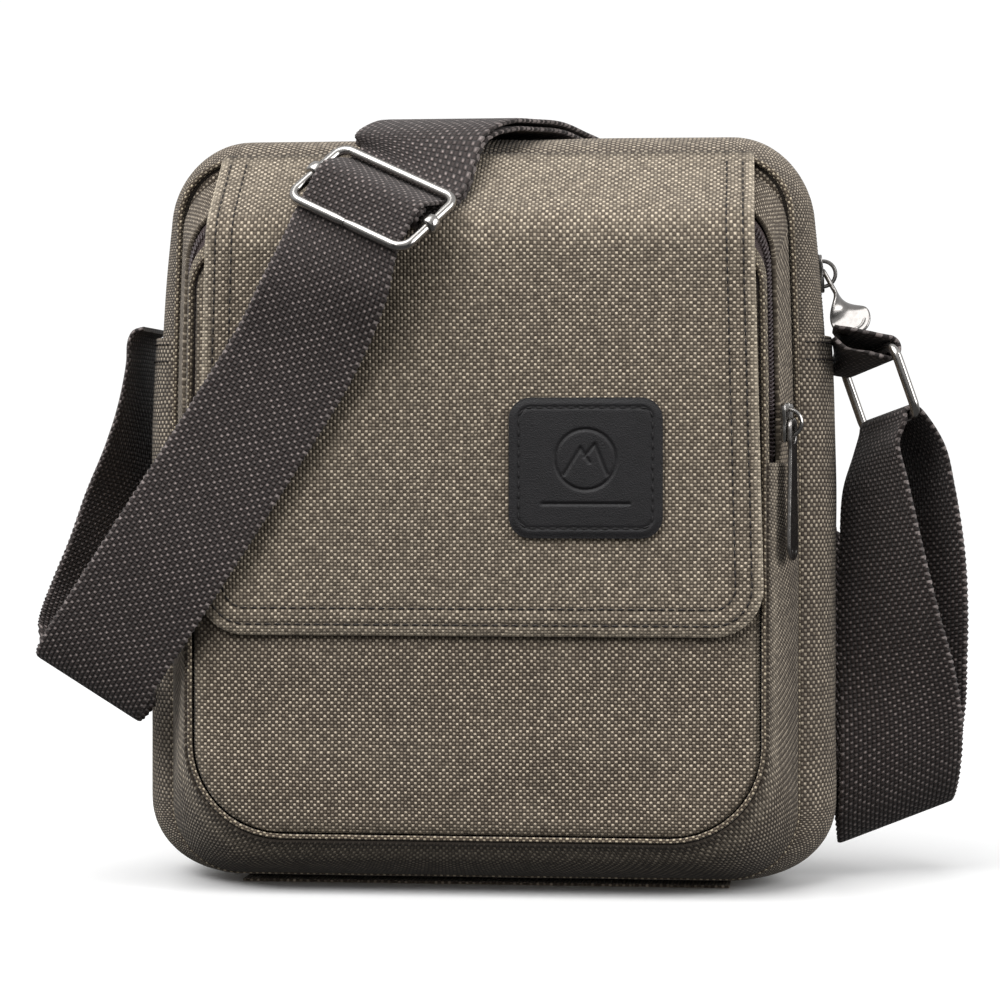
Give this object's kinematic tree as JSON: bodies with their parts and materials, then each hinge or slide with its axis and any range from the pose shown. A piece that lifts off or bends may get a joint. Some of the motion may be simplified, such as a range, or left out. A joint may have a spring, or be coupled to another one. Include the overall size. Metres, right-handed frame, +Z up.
{
  "type": "messenger bag",
  "caption": "Small upright canvas messenger bag with a front flap, zipped compartments, a back pocket and an adjustable webbing shoulder strap.",
  "frame": {"origin": "on the floor, below the middle of the bag's body", "axes": "+X to the side of the ring and the zip sliders, +Y to the back, +Z up"},
  "size_m": [0.2875, 0.1091, 0.2385],
  "materials": {
    "canvas": "heathered coarse plain weave",
    "webbing": "ribbed dark webbing",
    "zip_tape": "fine twill tape with a coil",
    "lining": "thin smooth lining",
    "leather": "fine grain, embossed",
    "nickel": "bright nickel plate",
    "board": "matte"
  },
  "bodies": {
    "root": {"main_front_panel": "canvas", "main_back_panel": "canvas", "lower_gusset": "canvas", "base_patch": "canvas", "main_zip_band_front": "canvas", "main_zip_band_rear": "canvas", "main_zip_tape": "zip_tape", "main_zip_chain": "zip_tape", "lining_front": "lining", "lining_back": "lining", "lining_gusset": "lining", "base_board": "board", "slip_pocket": "lining", "pocket_front_panel": "canvas", "pocket_lower_gusset": "canvas", "pocket_zip_band_front": "canvas", "pocket_zip_band_rear": "canvas", "pocket_zip_chain": "zip_tape", "pocket_lining": "lining", "snap_socket": "nickel", "back_zip_tape": "zip_tape", "back_zip_chain": "zip_tape", "back_pocket_lining": "lining", "strap_tab": "webbing", "strap_side_run": "webbing", "strap_front_run": "webbing", "strap_outer_run": "webbing", "strap_ring_front_leg": "webbing", "strap_ring_rear_leg": "webbing", "strap_return_run": "webbing"},
    "flap": {"flap_outer": "canvas", "flap_lining": "canvas", "leather_patch": "leather", "snap_stud": "nickel"},
    "strap_slider": {"slider_frame": "nickel", "slider_bar": "nickel"},
    "ring": {"strap_ring": "nickel"},
    "main_slider": {"main_zip_slider": "nickel"},
    "main_pull": {"main_zip_pull": "nickel"},
    "front_slider": {"pocket_zip_slider": "nickel"},
    "front_pull": {"pocket_zip_pull": "nickel"},
    "back_slider": {"back_zip_slider": "nickel"},
    "back_pull": {"back_zip_pull": "nickel"}
  },
  "joints": [
    {"name": "flap_hinge", "type": "hinge", "parent": "root", "child": "flap", "pos_m": [0, -0.026, 0.227], "axis": [-1, 0, 0], "range_deg": [0, 150], "deforming": ["strap_side_run", "strap_front_run", "strap_outer_run", "strap_ring_front_leg", "strap_ring_rear_leg", "strap_return_run"]},
    {"name": "strap_slider_slide", "type": "slide", "parent": "flap", "child": "strap_slider", "axis": [0.5446, 0.5739, 0.6115], "range_m": [-0.003, 0.003]},
    {"name": "ring_swing", "type": "hinge", "parent": "root", "child": "ring", "pos_m": [0.1182, -0.001, 0.164], "axis": [-0.3395, 0.9327, -0.1219], "range_deg": [-30, 25]},
    {"name": "main_zip_slide", "type": "slide", "parent": "root", "child": "main_slider", "axis": [-0.0824, 0, 0.9966], "range_m": [0, 0.012]},
    {"name": "main_pull_swing", "type": "hinge", "parent": "main_slider", "child": "main_pull", "pos_m": [0.1067, 0.0025, 0.18921], "axis": [0, -1, 0], "range_deg": [0, 110]},
    {"name": "front_zip_slide", "type": "slide", "parent": "root", "child": "front_slider", "axis": [0, 0, 1], "range_m": [-0.005, 0.02]},
    {"name": "front_pull_swing", "type": "hinge", "parent": "front_slider", "child": "front_pull", "pos_m": [0.0925, -0.04363, 0.142], "axis": [-0.4162, -0.9093, 0], "range_deg": [0, 100]},
    {"name": "back_zip_slide", "type": "slide", "parent": "root", "child": "back_slider", "axis": [1, 0, 0], "range_m": [0, 0.05]},
    {"name": "back_pull_swing", "type": "hinge", "parent": "back_slider", "child": "back_pull", "pos_m": [-0.053, 0.03475, 0.178], "axis": [0, 0, -1], "range_deg": [-110, 0]}
  ]
}
